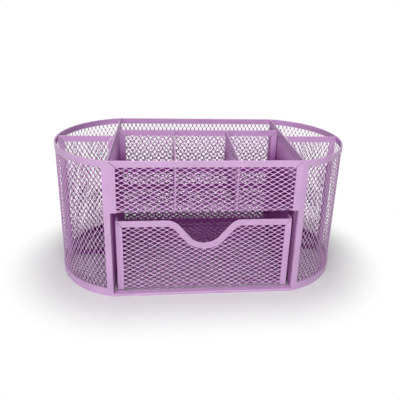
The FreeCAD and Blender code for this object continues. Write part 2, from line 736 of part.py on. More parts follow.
def face_plate(name, inset, bottom, front_y, thickness):
    """Plate with the outline of the drawer's face, drawn in by an inset.

    The rim dips into the finger notch: a shoulder arc, a sloping run and the notch's bottom arc,
    tangent to each other, and the same again on the other side.
    """
    half_width = number_of(DRAWER_HALF)
    top = number_of(DRAWER_TOP)
    low = number_of(bottom)
    shoulder_x = dims.notch_half_width
    shoulder_radius = dims.notch_shoulder_radius
    shoulder_z = top - shoulder_radius
    notch_radius = dims.notch_bottom_radius
    notch_z = number_of(NOTCH_CENTRE_Z)
    rise = notch_z - shoulder_z
    reach = math.hypot(shoulder_x, rise)
    slope = math.asin((shoulder_radius + notch_radius) / reach) - math.atan2(rise, shoulder_x)
    upright = math.pi / 2
    up = Vector(0, 0, 1)

    def arc(x, z, radius, start, end):
        return Part.ArcOfCircle(Part.Circle(Vector(x, z, 0), up, radius), start, end)

    left_arc = arc(-shoulder_x, shoulder_z, shoulder_radius, upright - slope, upright)
    notch_arc = arc(0, notch_z, notch_radius, 3 * upright - slope, 3 * upright + slope)
    right_arc = arc(shoulder_x, shoulder_z, shoulder_radius, upright, upright + slope)
    corners = [
        Vector(-half_width, low, 0),
        Vector(-half_width, top, 0),
        Vector(half_width, top, 0),
        Vector(half_width, low, 0),
    ]
    outline = [
        Part.LineSegment(corners[0], corners[1]),
        Part.LineSegment(corners[1], left_arc.EndPoint),
        left_arc,
        Part.LineSegment(left_arc.StartPoint, notch_arc.StartPoint),
        notch_arc,
        Part.LineSegment(notch_arc.EndPoint, right_arc.EndPoint),
        right_arc,
        Part.LineSegment(right_arc.StartPoint, corners[2]),
        Part.LineSegment(corners[2], corners[3]),
        Part.LineSegment(corners[3], corners[0]),
    ]
    body = doc.addObject("PartDesign::Body", name)
    sketch = new_sketch(body, f"{name}_outline", "XZ_Plane")
    for item in outline:
        sketch.addGeometry(item, False)
    left, top_left, shoulder_l, slope_l, notch, slope_r, shoulder_r, top_right, right, foot = range(10)
    rules = [
        ("Coincident", left, 2, top_left, 1),
        ("Coincident", top_right, 2, right, 1),
        ("Coincident", right, 2, foot, 1),
        ("Coincident", foot, 2, left, 1),
        ("Tangent", top_left, 2, shoulder_l, 2),
        ("Tangent", shoulder_l, 1, slope_l, 1),
        ("Tangent", slope_l, 2, notch, 1),
        ("Tangent", notch, 2, slope_r, 1),
        ("Tangent", slope_r, 2, shoulder_r, 2),
        ("Tangent", shoulder_r, 1, top_right, 1),
        ("Vertical", left),
        ("Vertical", right),
        ("Horizontal", top_left),
        ("Horizontal", top_right),
        ("Horizontal", foot),
        ("PointOnObject", notch, 3, -2),
    ]
    for rule in rules:
        sketch.addConstraint(Sketcher.Constraint(*rule))
    half = f"{DRAWER_HALF} - {inset}"
    rim = f"{DRAWER_TOP} - {inset}"
    shoulder = f"dims.notch_shoulder_radius - {inset}"
    bound(sketch, "left_half", half, "DistanceX", left, 1, -1, 1, half_width)
    bound(sketch, "right_half", half, "DistanceX", -1, 1, right, 1, half_width)
    bound(sketch, "low", bottom, "DistanceY", -1, 1, left, 1, low)
    bound(sketch, "left_rim", rim, "DistanceY", -1, 1, left, 2, top)
    bound(sketch, "right_rim", rim, "DistanceY", -1, 1, right, 1, top)
    bound(sketch, "left_x", "dims.notch_half_width", "DistanceX", shoulder_l, 3, -1, 1, shoulder_x)
    bound(sketch, "right_x", "dims.notch_half_width", "DistanceX", -1, 1, shoulder_r, 3, shoulder_x)
    bound(sketch, "left_radius", shoulder, "Radius", shoulder_l, shoulder_radius)
    bound(sketch, "right_radius", shoulder, "Radius", shoulder_r, shoulder_radius)
    notch_size = f"dims.notch_bottom_radius + {inset}"
    bound(sketch, "notch_radius", notch_size, "Radius", notch, notch_radius)
    bound(sketch, "notch_height", NOTCH_CENTRE_Z, "DistanceY", -1, 1, notch, 3, notch_z)
    pad = body.newObject("PartDesign::Pad", f"{name}_pad")
    pad.Profile = sketch
    pad.Reversed = True
    pad.setExpression("Length", thickness)
    place(body, "0", front_y, "0")
    return body


def drawer_face():
    """Strip folded round the top and sides of the drawer's face; it follows the notch."""
    bottom = DRAWER_BOTTOM
    blank = face_plate("face_blank", "0", bottom, DRAWER_FRONT_Y, STRIP)
    doc.recompute()
    low = number_of(bottom)
    corners = softened(
        blank,
        dims.drawer_corner_radius,
        lambda edge: along(edge, Vector(0, 1, 0)) and abs(edge.CenterOfMass.z - low) < NEAR,
    )
    blank = softened(corners, strip_radius(), lambda edge: not along(edge, Vector(0, 1, 0)))
    half = DRAWER_HALF
    below = f"{bottom} / 2"
    tools = [
        face_plate("face_window", WIDTH, below, f"{DRAWER_FRONT_Y} - {STRIP}", f"3 * {STRIP}"),
        face_plate("face_slot", GAUGE, below, DRAWER_SHEET_Y, SHEET),
        box(
            "face_fold_notch",
            (f"-{half} - {WIDTH}", DRAWER_SHEET_Y, "0"),
            (f"2 * ({half} + {WIDTH})", STRIP, f"{bottom} + dims.fold_radius"),
        ),
        face_mitre("face_mitre_1", f"-{half}", 45),
        face_mitre("face_mitre_2", half, 135),
    ]
    keep(cut("drawer_front_frame", blank, tools), "drawer_front_frame")


def face_mitre(name, corner_x, angle):
    """Mitre slit at an upper corner of the drawer's face."""
    slit = mitre(name, corner_x, DRAWER_TOP, angle)
    slit.setExpression("Placement.Base.y", f"{DRAWER_FRONT_Y} - {STRIP}")
    return slit


def drawer_tray():
    """One sheet folded into the drawer's face, floor and back."""
    face = face_plate("tray_face", GAUGE, DRAWER_BOTTOM, DRAWER_SHEET_Y, SHEET)
    margin = f"({WIDTH} + dims.opening_margin)"
    half = f"({DRAWER_HALF} - {margin})"
    low_z = f"({DRAWER_BOTTOM} + {FOLD_MARGIN})"
    notch_z = f"({DRAWER_TOP} - dims.notch_depth - {margin})"
    openwork(
        face,
        "tray_face",
        "XZ_Plane",
        (f"(-{half})", low_z),
        (f"(2 * {half})", f"({notch_z} - {low_z})"),
    )
    # Beside the notch the face is open up to its top strip.
    beside = f"({half} - dims.notch_half_width - dims.opening_margin)"
    for side, low_x in (("left", f"(-{half})"), ("right", f"({half} - {beside})")):
        height = f"({DRAWER_TOP} - {margin} - {notch_z})"
        openwork(face, f"tray_{side}", "XZ_Plane", (low_x, notch_z), (beside, height))
    width = f"(2 * {DRAWER_SHEET_HALF})"
    floor = sheet(
        "tray_floor",
        "Z",
        (f"-{DRAWER_SHEET_HALF}", DRAWER_SHEET_Y, DRAWER_BOTTOM),
        (width, f"({DRAWER_SHEET_END_Y} - {DRAWER_SHEET_Y})"),
        below=FOLD_MARGIN,
        above=FOLD_MARGIN,
    )
    back = sheet(
        "tray_back",
        "Y",
        (f"-{DRAWER_SHEET_HALF}", f"{DRAWER_SHEET_END_Y} - {SHEET}", DRAWER_BOTTOM),
        (width, f"({DRAWER_SHEET_TOP} - {DRAWER_BOTTOM})"),
        below=FOLD_MARGIN,
    )
    bottom = number_of(DRAWER_BOTTOM)
    floor_top = number_of(DRAWER_FLOOR_TOP)
    front = number_of(DRAWER_SHEET_Y)
    rear = number_of(DRAWER_SHEET_END_Y)
    thickness = dims.sheet_thickness
    folds = [
        ((front, bottom), (front + thickness, floor_top)),
        ((rear, bottom), (rear - thickness, floor_top)),
    ]
    keep(folded("drawer_tray_mesh", [face, floor, back], folds), "drawer_tray_mesh")


def edge_strip(label, low, size, slot_low, slot_size, rounded=None):
    """Straight strip folded over one edge of a sheet."""
    blank = softened(box(f"{label}_blank", low, size), strip_radius(), rounded)
    slot = box(f"{label}_slot", slot_low, slot_size)
    keep(cut(label, blank, [slot]), label)


def drawer_side(side, direction):
    """Side wall of the drawer, standing on the floor, with its rim."""
    outer = DRAWER_HALF
    low_x = f"({outer} - {STRIP})" if direction > 0 else f"(-{outer})"
    sheet_x = f"({low_x} + {GAUGE})"
    front = DRAWER_FACE_BACK_Y
    rear = DRAWER_RIM_END_Y
    rim_z = f"({DRAWER_TOP} - {WIDTH})"
    wall = sheet(
        f"drawer_{side}_sheet",
        "X",
        (sheet_x, front, DRAWER_FLOOR_TOP),
        (f"({rear} - {front})", f"({DRAWER_SHEET_TOP} - {DRAWER_FLOOR_TOP})"),
        sides=FOLD_MARGIN,
        below=FOLD_MARGIN,
    )
    low = number_of(DRAWER_FLOOR_TOP)
    wall = softened(
        wall,
        dims.fold_radius,
        lambda edge: lengthwise(edge) and abs(edge.CenterOfMass.z - low) < NEAR,
    )
    keep(wall, f"drawer_{side}_mesh")
    edge_strip(
        f"drawer_{side}_rim",
        (low_x, front, rim_z),
        (STRIP, f"{rear} - {front}", WIDTH),
        (sheet_x, f"{front} - {STRIP}", f"{rim_z} - {STRIP}"),
        (SHEET, f"{rear} - {front} + 2 * {STRIP}", f"{WIDTH} - {GAUGE} + {STRIP}"),
    )


def drawer_back_rim():
    """Rim over the drawer's back."""
    rim_z = f"({DRAWER_TOP} - {WIDTH})"
    edge_strip(
        "drawer_back_rim",
        (f"-{DRAWER_HALF}", DRAWER_RIM_END_Y, rim_z),
        (f"2 * {DRAWER_HALF}", STRIP, WIDTH),
        (f"-{DRAWER_SHEET_HALF}", f"{DRAWER_RIM_END_Y} + {GAUGE}", f"{rim_z} - {STRIP}"),
        (f"2 * {DRAWER_SHEET_HALF}", SHEET, f"{WIDTH} - {GAUGE} + {STRIP}"),
    )


def back_panel():
    """Back of the stand: a sheet that runs on from the end walls, and its two strips."""
    low_x = f"(-{JOINT_X})"
    width = f"2 * {JOINT_X}"
    sheet_y = f"({BACK_INNER_Y} + {GAUGE})"
    top = "dims.overall_height"
    mesh = sheet(
        "back_mesh",
        "Y",
        (low_x, sheet_y, f"{WALL_BOTTOM} + {GAUGE}"),
        (f"({width})", f"({top} - {WALL_BOTTOM} - 2 * {GAUGE})"),
        sides="dims.opening_margin",
        upright=True,
    )
    keep(mesh, "back_mesh")
    slot_low_x = f"(-{JOINT_X} - {STRIP})"
    slot_width = f"2 * ({JOINT_X} + {STRIP})"
    for label, low_z, slot_z in (
        ("back_top_strip", f"({top} - {WIDTH})", f"({top} - {GAUGE} - 2 * {WIDTH})"),
        ("back_foot_strip", WALL_BOTTOM, f"({WALL_BOTTOM} + {GAUGE})"),
    ):
        edge_strip(
            label,
            (low_x, BACK_INNER_Y, low_z),
            (width, STRIP, WIDTH),
            (slot_low_x, sheet_y, slot_z),
            (slot_width, SHEET, f"2 * {WIDTH}"),
            lengthwise,
        )


def stand():
    """Everything that stays put."""
    base()
    top = "dims.overall_height"
    end_wall("left", -1)
    end_wall("right", 1)
    back_panel()
    front_panel()
    for side, right_x in (("left", f"-{JOINT_X}"), ("right", PARTITION_X)):
        deep_panel(
            f"{side}_partition",
            right_x,
            f"-{PARTITION_END_Y}",
            PARTITION_END_Y,
            WALL_BOTTOM,
            top,
            upright=True,
        )
    cross_panel("middle_wall", f"-{MIDDLE_HALF}", MIDDLE_HALF, MIDDLE_FRONT_Y, SHELF_TOP, top)
    pocket_y = f"(dims.pocket_divider_shift - {STRIP} / 2)"
    reach_y = f"({pocket_y} + {STRIP})"
    wall_reach = f"({END_CENTRE} + sqrt(({END_RADIUS} - {STRIP}) ^ 2 - {reach_y} ^ 2))"
    near = f"({PARTITION_X} + dims.seat_gap)"
    far = f"({wall_reach} - dims.seat_gap)"
    for side, low_x, high_x in (("left", f"(-{far})", f"(-{near})"), ("right", near, far)):
        label = f"{side}_pocket_divider"
        cross_panel(label, low_x, high_x, pocket_y, WALL_BOTTOM, top, upright=True)
    pen_front = f"({FRONT_INNER_Y} + dims.seat_gap)"
    pen_back = f"({MIDDLE_FRONT_Y} - dims.seat_gap)"
    for side, sign in (("left", "-"), ("right", "")):
        right_x = f"({sign}{MIDDLE_HALF} / 3 + {STRIP} / 2)"
        deep_panel(f"{side}_pen_divider", right_x, pen_front, pen_back, SHELF_TOP, top)


def drawer():
    """Everything that slides."""
    drawer_face()
    drawer_tray()
    drawer_side("left", -1)
    drawer_side("right", 1)
    drawer_back_rim()


stand()
drawer()
doc.recompute()

for item in doc.Objects:
    for fault in ("Invalid", "Error"):
        if fault in item.State:
            raise RuntimeError(f"{item.Label} is {fault}")
for item in sub_parts:
    if item.Shape.isNull() or not item.Shape.isValid():
        raise RuntimeError(f"{item.Label} has no valid shape")
    if len(item.Shape.Solids) != 1:
        raise RuntimeError(f"{item.Label} is not one solid")

os.makedirs("parts", exist_ok=True)
for item in sub_parts:
    item.Shape.exportStep(os.path.join("parts", f"{item.Label}.step"))
    size = item.Shape.BoundBox
    print(
        f"{item.Label:28s} {item.Shape.Volume:9.1f} mm3"
        f"  x {size.XMin:7.2f} {size.XMax:7.2f}"
        f"  y {size.YMin:7.2f} {size.YMax:7.2f}"
        f"  z {size.ZMin:7.2f} {size.ZMax:7.2f}"
    )
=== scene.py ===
"""Looks of the pen stand: powder-coated strips and expanded-metal sheets round the frame."""

import math

import bmesh
import bpy
import numpy as np
from mathutils import Matrix, Vector


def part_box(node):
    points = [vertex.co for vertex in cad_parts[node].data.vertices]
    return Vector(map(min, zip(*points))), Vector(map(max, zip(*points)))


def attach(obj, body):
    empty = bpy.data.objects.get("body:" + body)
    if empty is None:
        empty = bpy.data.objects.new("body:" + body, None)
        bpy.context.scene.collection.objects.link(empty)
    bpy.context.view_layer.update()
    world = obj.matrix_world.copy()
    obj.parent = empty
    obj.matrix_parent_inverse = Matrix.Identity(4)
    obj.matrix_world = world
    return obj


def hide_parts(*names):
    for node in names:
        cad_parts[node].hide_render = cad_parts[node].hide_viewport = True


MM = 0.001

# Sizes in millimetres, as in the CAD model.
SHEET = 0.5
GAUGE = 0.3
FOLD_RADIUS = 1.2
FOLD_MIDDLE = FOLD_RADIUS - SHEET / 2
SHELF_HEIGHT = 67.2
HALF_WIDTH = 110.0
END_BULGE = 44.0
HALF_DEPTH = 56.0
END_RADIUS = (HALF_DEPTH**2 + END_BULGE**2) / (2 * END_BULGE)
END_CENTRE = HALF_WIDTH - END_RADIUS
END_HALF_ANGLE = math.asin(HALF_DEPTH / END_RADIUS)

# Expanded metal: diamonds on a centred pattern.
LONG_PITCH = 6.05
SHORT_PITCH = 3.55
TIP_CUT = 0.2  # how much of each side is lost where a hole's tips are blunt
CORNER_CUT = 7.6  # how far a sheet's corner is cut off along each edge under a mitre

# Strands: a hole's share of its diamond, how far a twisted strand's edges stand out of the
# sheet's middle (below 0 it is twisted the other way), and half its thickness at its edges and
# along its middle.
STRAND = (0.85, 0.30, 0.10, 0.22)
FOLDED_STRAND = (0.86, -0.30, 0.10, 0.21)
END_STRAND = (0.89, -0.10, 0.05, 0.14)

WORLD_LIGHT = 0.0  # strength of the surroundings, where white paper is 1
FLOOR_COLOUR = (0.85, 0.85, 0.85, 1.0)

# Shade is painted into the coat's colour: darker inside the stand, as the photo shows it, and
# darker on the cut edges of the outer sheets' strands than along their middles, where a highlight
# is painted. This goes by the place on the object and the way its face looks from the middle.
# Places are in metres, and tones multiply the coat's colour.
RECESS_OUTER = 0.0492  # distances from the stand's middle line over which the inside begins
RECESS_INNER = 0.0430
RECESS_POCKET = 0.0063  # how much farther out both lie in the pockets
POCKET_START = 0.0142  # distances past the ends' centres over which the pockets begin
POCKET_END = 0.0160
RECESS_TOP = 0.098  # heights over which the painted shade inside deepens
RECESS_BOTTOM = 0.074
DEEP_TOP = 0.090  # heights over which the painted shade in the pockets deepens once more
DEEP_BOTTOM = 0.045
TURNED_IN = (0.1, -0.5)  # how far a face looks out (1 is straight out), from outer to inner
FLANK = (0.85, 0.35)  # the same, from a strand's middle to its cut edges
CREST = (0.80, 0.97)  # the same, from its slopes to its middle
RECESS_PAINTED_SHADE = (0.45, 0.18, 0.44, 1.0)  # painted shade low inside the stand
DRAWER_PAINTED_SHADE = (0.60, 0.30, 0.60, 1.0)  # painted shade low inside, on the drawer's sheets
POCKET_PAINTED_SHADE = (0.50, 0.30, 0.50, 1.0)  # painted shade low in the pockets, on top of the others
INSIDE_PAINTED_SHADE = (1.0, 0.90, 1.0, 1.0)  # painted shade everywhere inside
FLANK_PAINTED_SHADE = (0.80, 0.62, 0.80, 1.0)  # painted shade on the cut edges of the outer sheets' strands
CREST_PAINTED_HIGHLIGHT = (1.12, 1.17, 1.12, 1.0)  # painted highlight along the middle of those strands
# Specular level on the outside, and the lower one where shade is painted low inside the stand.
OUTER_SPECULAR = 0.8
INNER_SPECULAR = 0.15

# The floor takes light and shadow near the object and turns white farther out, the same on every
# side: over which distance from the outline, in metres.
FLOOR_FADE = 0.05

LAMP_AIM = (0, 0, 0.05)

# Camera fitted to the photo: place in millimetres, angles in degrees, the rest in pixels.
PHOTO_WIDTH = 400.0
CAMERA_PLACE = (-29.58611, -349.21735, 209.42136)
CAMERA_ANGLES = (6.85139, 20.66960, -2.17371)
FOCAL_LENGTH = 469.230
PRINCIPAL_POINT = (216.07, 170.70)
SENSOR_WIDTH = 36.0

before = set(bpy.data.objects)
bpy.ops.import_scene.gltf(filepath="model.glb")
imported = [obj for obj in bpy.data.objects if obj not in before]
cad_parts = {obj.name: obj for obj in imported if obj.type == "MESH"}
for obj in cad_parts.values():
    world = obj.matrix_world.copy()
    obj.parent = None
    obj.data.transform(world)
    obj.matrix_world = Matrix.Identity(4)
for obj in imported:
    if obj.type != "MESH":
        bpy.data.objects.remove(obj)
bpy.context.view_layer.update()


# ---------------------------------------------------------------- materials


def node_tree(name):
    material = bpy.data.materials.new(name)
    material.use_nodes = True
    tree = material.node_tree
    return material, tree, tree.nodes["Principled BSDF"]


def add(tree, kind, **inputs):
    node = tree.nodes.new(kind)
    for key, value in inputs.items():
        node.inputs[key.replace("_", " ")].default_value = value
    return node


def maths(tree, operation, *values):
    """Maths node. Each input is a number or the output of another node."""
    node = tree.nodes.new("ShaderNodeMath")
    node.operation = operation
    for socket, value in zip(node.inputs, values):
        if isinstance(value, (int, float)):
            socket.default_value = value
        else:
            tree.links.new(value, socket)
    return node.outputs["Value"]


def ramp(tree, source, stops):
    node = tree.nodes.new("ShaderNodeValToRGB")
    elements = node.color_ramp.elements
    while len(elements) < len(stops):
        elements.new(0.5)
    for element, (position, colour) in zip(elements, stops):
        element.position = position
        element.color = (*colour, 1.0)
    tree.links.new(source, node.inputs["Fac"])
    return node


def rise(tree, source, start, end, low=0.0, high=1.0, smooth=True):
    """Go from a low to a high value while the source goes from start to end."""
    node = tree.nodes.new("ShaderNodeMapRange")
    if smooth:
        node.interpolation_type = "SMOOTHSTEP"
    for socket, value in zip(node.inputs[1:5], (start, end, low, high)):
        socket.default_value = value
    tree.links.new(source, node.inputs["Value"])
    return node.outputs["Result"]


def mixed(tree, factor, first, second):
    """First colour, multiplied by the second to the share that factor gives."""
    node = tree.nodes.new("ShaderNodeMix")
    node.data_type = "RGBA"
    node.blend_type = "MULTIPLY"
    for key, value in (("Factor", factor), ("A", first), ("B", second)):
        if isinstance(value, (int, float, tuple)):
            node.inputs[key].default_value = value
        else:
            tree.links.new(value, node.inputs[key])
    return node.outputs["Result"]


def outline_distance(tree, x, y):
    """Distance from the middle line of the stand's plan, and how far out past it x lies."""
    out = maths(tree, "MAXIMUM", maths(tree, "SUBTRACT", x, END_CENTRE * MM), 0.0)
    squares = maths(tree, "MULTIPLY_ADD", out, out, maths(tree, "MULTIPLY", y, y))
    return maths(tree, "SQRT", squares), out


def painted_shade_shares(tree, place):
    """Shares from 0 to 1 for the shade and highlight painted into the coat at a place on the
    object.

    They are: within the stand, low within it, low in a pocket and on a cut edge, all painted
    shade, and on a crest, a painted highlight.
    """
    point = tree.nodes.new("ShaderNodeSeparateXYZ")
    tree.links.new(place, point.inputs["Vector"])
    side = maths(tree, "ABSOLUTE", point.outputs["X"])
    distance, out = outline_distance(tree, side, point.outputs["Y"])
    pocket = rise(tree, out, POCKET_START, POCKET_END, 0.0, RECESS_POCKET)
    inside = rise(tree, maths(tree, "SUBTRACT", distance, pocket), RECESS_OUTER, RECESS_INNER)
    normal = tree.nodes.new("ShaderNodeSeparateXYZ")
    surface = tree.nodes.new("ShaderNodeNewGeometry")
    tree.links.new(surface.outputs["Normal"], normal.inputs["Vector"])
    sideways = maths(tree, "MULTIPLY", out, maths(tree, "SIGN", point.outputs["X"]))
    outward = maths(tree, "MULTIPLY", normal.outputs["Y"], point.outputs["Y"])
    outward = maths(tree, "MULTIPLY_ADD", normal.outputs["X"], sideways, outward)
    outward = maths(tree, "DIVIDE", outward, distance)
    turned = rise(tree, outward, *TURNED_IN)
    within = maths(tree, "MAXIMUM", inside, turned)
    below = rise(tree, point.outputs["Z"], RECESS_TOP, RECESS_BOTTOM)
    flank = rise(tree, outward, *FLANK)
    outer = maths(tree, "SUBTRACT", 1.0, inside)
    edge = maths(tree, "MULTIPLY", flank, outer)
    crest = maths(tree, "MULTIPLY", rise(tree, outward, *CREST), outer)
    deep = maths(tree, "MULTIPLY", pocket, 1 / RECESS_POCKET)
    low_down = rise(tree, point.outputs["Z"], DEEP_TOP, DEEP_BOTTOM)
    deep = maths(tree, "MULTIPLY", deep, low_down)
    deep = maths(tree, "MULTIPLY", within, deep)
    return within, maths(tree, "MULTIPLY", within, below), deep, edge, crest


def powder_coat(
    name, dark, base, light, roughness, grain, inner_painted_shade=RECESS_PAINTED_SHADE, strands=False
):
    """Satin powder coat: cloudy tone, fine orange-peel bump, an uneven gloss, and shade and a
    highlight painted into its colour.
    """
    material, tree, shader = node_tree(name)
    place = tree.nodes.new("ShaderNodeTexCoord")
    cloud = add(tree, "ShaderNodeTexNoise", Scale=55.0, Detail=4.0, Roughness=0.55)
    speckle = add(tree, "ShaderNodeTexNoise", Scale=1500.0, Detail=2.0, Roughness=0.6)
    peel = add(tree, "ShaderNodeTexNoise", Scale=620.0, Detail=3.0, Roughness=0.5)
    for texture in (cloud, speckle, peel):
        tree.links.new(place.outputs["Object"], texture.inputs["Vector"])
    tone = ramp(tree, cloud.outputs["Fac"], [(0.3, dark), (0.5, base), (0.72, light)])
    grit = ramp(
        tree, speckle.outputs["Fac"], [(0.34, (0.93, 0.92, 0.93)), (0.6, (1.0, 1.0, 1.0))]
    )
    coat = mixed(tree, 1.0, tone.outputs["Color"], grit.outputs["Color"])
    # Painted shade inside the stand, low in it, low in the pockets and on the strands' cut edges;
    # painted highlight on their crests.
    within, depth, deep, edge, crest = painted_shade_shares(tree, place.outputs["Object"])
    if strands:
        coat = mixed(tree, edge, coat, FLANK_PAINTED_SHADE)
        coat = mixed(tree, crest, coat, CREST_PAINTED_HIGHLIGHT)
    coat = mixed(tree, deep, coat, POCKET_PAINTED_SHADE)
    inner = mixed(tree, within, coat, INSIDE_PAINTED_SHADE)
    tree.links.new(mixed(tree, depth, inner, inner_painted_shade), shader.inputs["Base Color"])
    gloss = rise(
        tree, cloud.outputs["Fac"], 0.3, 0.7, roughness - 0.06, roughness + 0.06, smooth=False
    )
    tree.links.new(gloss, shader.inputs["Roughness"])
    bump = add(tree, "ShaderNodeBump", Strength=grain, Distance=0.00012)
    tree.links.new(peel.outputs["Fac"], bump.inputs["Height"])
    tree.links.new(bump.outputs["Normal"], shader.inputs["Normal"])
    # The specular level drops where the shade is painted low inside.
    specular = rise(tree, depth, 0.0, 1.0, OUTER_SPECULAR, INNER_SPECULAR, smooth=False)
    tree.links.new(specular, shader.inputs["Specular IOR Level"])
    shader.inputs["IOR"].default_value = 1.5
    return material


strip_coat = powder_coat(
    "strip_powder_coat",
    dark=(0.600, 0.355, 0.625),
    base=(0.630, 0.380, 0.655),
    light=(0.660, 0.405, 0.685),
    roughness=0.42,
    grain=0.35,
)
mesh_coat, drawer_coat = [
    powder_coat(
        name,
        dark=(0.595, 0.320, 0.615),
        base=(0.625, 0.345, 0.645),
        light=(0.655, 0.370, 0.675),
        roughness=0.45,
        grain=0.25,
        inner_painted_shade=inner_painted_shade,
        strands=True,
    )
    for name, inner_painted_shade in (
        ("mesh_powder_coat", RECESS_PAINTED_SHADE),
        ("drawer_powder_coat", DRAWER_PAINTED_SHADE),
    )
]


def sheet_coat(node):
    return drawer_coat if node.startswith("drawer") else mesh_coat


for name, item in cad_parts.items():
    item.data.materials.clear()
    item.data.materials.append(sheet_coat(name) if name.endswith("_mesh") else strip_coat)


# ---------------------------------------------------------------- expanded metal


def diamond_sheet(
    node,
    body,
    surface,
    limits,
    upright=False,
    trim=None,
    folds=(),
    shift=(0, 0),
    mitres=(),
    strand=STRAND,
):
    """Replace a plain sheet by one of expanded metal.

    The sheet is laid out flat first, in millimetres: x across, y along, z its thickness. surface
    takes those three to the frame. limits are the flat sheet's low x, high x, low y, high y.
    The diamonds are long across, or along if upright. trim pulls in what would stand past a
    shaped edge, and folds are the values of y at which strands are divided so that they can bend.
    mitres are the corners that lie under a strip's mitre, as indexes into limits.
    """
    hole, lean, edge, ridge = strand
    step_x, step_y = LONG_PITCH / 2, SHORT_PITCH / 2
    if upright:
        step_x, step_y = step_y, step_x
    low_x, high_x, low_y, high_y = limits
    middle_x = (low_x + high_x) / 2 + shift[0]
    middle_y = (low_y + high_y) / 2 + shift[1]
    reach_x = int((high_x - low_x) / step_x) + 2
    reach_y = int((high_y - low_y) / step_y) + 2

    def pulled_in(x, y):
        x, y = np.clip(x, low_x, high_x), np.clip(y, low_y, high_y)
        for side_x, side_y in mitres:
            inward_x, inward_y = 1 - 2 * side_x, 5 - 2 * side_y
            reach = abs(x - limits[side_x]) + abs(y - limits[side_y])
            move = np.maximum(CORNER_CUT - reach, 0.0) / 2
            x, y = x + inward_x * move, y + inward_y * move
        return trim(x, y) if trim else (x, y)

    columns, rows = np.meshgrid(np.arange(-reach_x, reach_x + 1), np.arange(-reach_y, reach_y + 1))
    columns, rows = columns.ravel(), rows.ravel()
    x, y = middle_x + columns * step_x, middle_y + rows * step_y
    inside_x, inside_y = pulled_in(x, y)
    kept = ((columns + rows) % 2 == 0) & (abs(inside_x - x) < 1e-6) & (abs(inside_y - y) < 1e-6)
    columns, rows = columns[kept], rows[kept]
    count = len(columns)

    tips = np.array([(1, 0), (0, 1), (-1, 0), (0, -1)])
    half_span = 50000
    corner_keys = (columns[:, None] + tips[:, 0]) * 2 * half_span
    corner_keys += rows[:, None] + tips[:, 1] + half_span
    keys, corner_index = np.unique(corner_keys, return_inverse=True)
    corner_index = corner_index.reshape(count, 4)
    key_rows = keys % (2 * half_span) - half_span
    key_columns = (keys - half_span - key_rows) // (2 * half_span)
    corner_x, corner_y = pulled_in(middle_x + key_columns * step_x, middle_y + key_rows * step_y)
    corners = len(keys)

    ring = []
    for k in range(4):
        tip, before, after = tips[k], tips[k - 1], tips[(k + 1) % 4]
        ring.append(hole * (tip + TIP_CUT * (before - tip)))
        ring.append(hole * (tip + TIP_CUT * (after - tip)))
    ring = np.array(ring)
    hole_x = middle_x + (columns[:, None] + ring[:, 0]) * step_x
    hole_y = middle_y + (rows[:, None] + ring[:, 1]) * step_y
    hole_x, hole_y = pulled_in(hole_x.ravel(), hole_y.ravel())
    rise_out = np.tile((ring[:, 0] if upright else ring[:, 1]) / hole * lean, count)
    flat = np.concatenate(
        [
            np.column_stack([corner_x, corner_y, np.full(corners, ridge)]),
            np.column_stack([corner_x, corner_y, np.full(corners, -ridge)]),
            np.column_stack([hole_x, hole_y, rise_out + edge]),
            np.column_stack([hole_x, hole_y, rise_out - edge]),
        ]
    )
    front = 2 * corners + np.arange(count * 8).reshape(count, 8)
    back = front + count * 8
    under = corner_index + corners

    faces = []
    cells = set(zip(columns.tolist(), rows.tolist()))
    for k in range(4):
        n = (k + 1) % 4
        over = [corner_index[:, k], corner_index[:, n], front[:, 2 * n], front[:, 2 * k + 1]]
        faces.append(np.stack(over, 1))
        faces.append(np.stack([under[:, n], under[:, k], back[:, 2 * k + 1], back[:, 2 * n]], 1))
        faces.append(np.stack([corner_index[:, k], front[:, 2 * k + 1], front[:, 2 * k]], 1))
        faces.append(np.stack([under[:, k], back[:, 2 * k], back[:, 2 * k + 1]], 1))
        step = tips[k] + tips[n]
        alone = [
            (c + step[0], r + step[1]) not in cells
            for c, r in zip(columns.tolist(), rows.tolist())
        ]
        alone = np.array(alone, bool)
        border = [corner_index[:, n], corner_index[:, k], under[:, k], under[:, n]]
        faces.append(np.stack(border, 1)[alone])
    for j in range(8):
        n = (j + 1) % 8
        faces.append(np.stack([front[:, j], front[:, n], back[:, n], back[:, j]], 1))
    polygons = [face for group in faces for face in group.tolist()]

    mesh = bpy.data.meshes.new(f"{node}_diamonds")
    mesh.from_pydata(flat.tolist(), [], polygons)
    if folds:
        work = bmesh.new()
        work.from_mesh(mesh)
        for fold in folds:
            geometry = list(work.verts) + list(work.edges) + list(work.faces)
            bmesh.ops.bisect_plane(
                work, geom=geometry, dist=1e-5, plane_co=(0, fold, 0), plane_no=(0, 1, 0)
            )
        work.to_mesh(mesh)
        work.free()
    flat = np.zeros(len(mesh.vertices) * 3)
    mesh.vertices.foreach_get("co", flat)
    flat = flat.reshape(-1, 3)
    placed = np.column_stack(surface(flat[:, 0], flat[:, 1], flat[:, 2])) * MM
    mesh.vertices.foreach_set("co", placed.ravel())
    mesh.update()
    probe = [np.array([value]) for value in (middle_x, middle_y, 0.0)]
    here = np.column_stack(surface(*probe))[0]
    sides = []
    for axis in range(3):
        moved = [value.copy() for value in probe]
        moved[axis] += 0.01
        sides.append(np.column_stack(surface(*moved))[0] - here)
    if np.dot(np.cross(sides[0], sides[1]), sides[2]) < 0:
        mesh.flip_normals()
    mesh.polygons.foreach_set("use_smooth", [True] * len(mesh.polygons))
    mesh.materials.append(sheet_coat(node))
    piece = bpy.data.objects.new(f"{node}_diamonds", mesh)
    bpy.context.scene.collection.objects.link(piece)
    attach(piece, body)
    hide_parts(node)


def middle(node):
    """Low and high corner of a node's box in millimetres, and the middle of its sheet."""
    low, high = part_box(node)
    low, high = np.array(low) / MM, np.array(high) / MM
    return low, high, (low + high) / 2


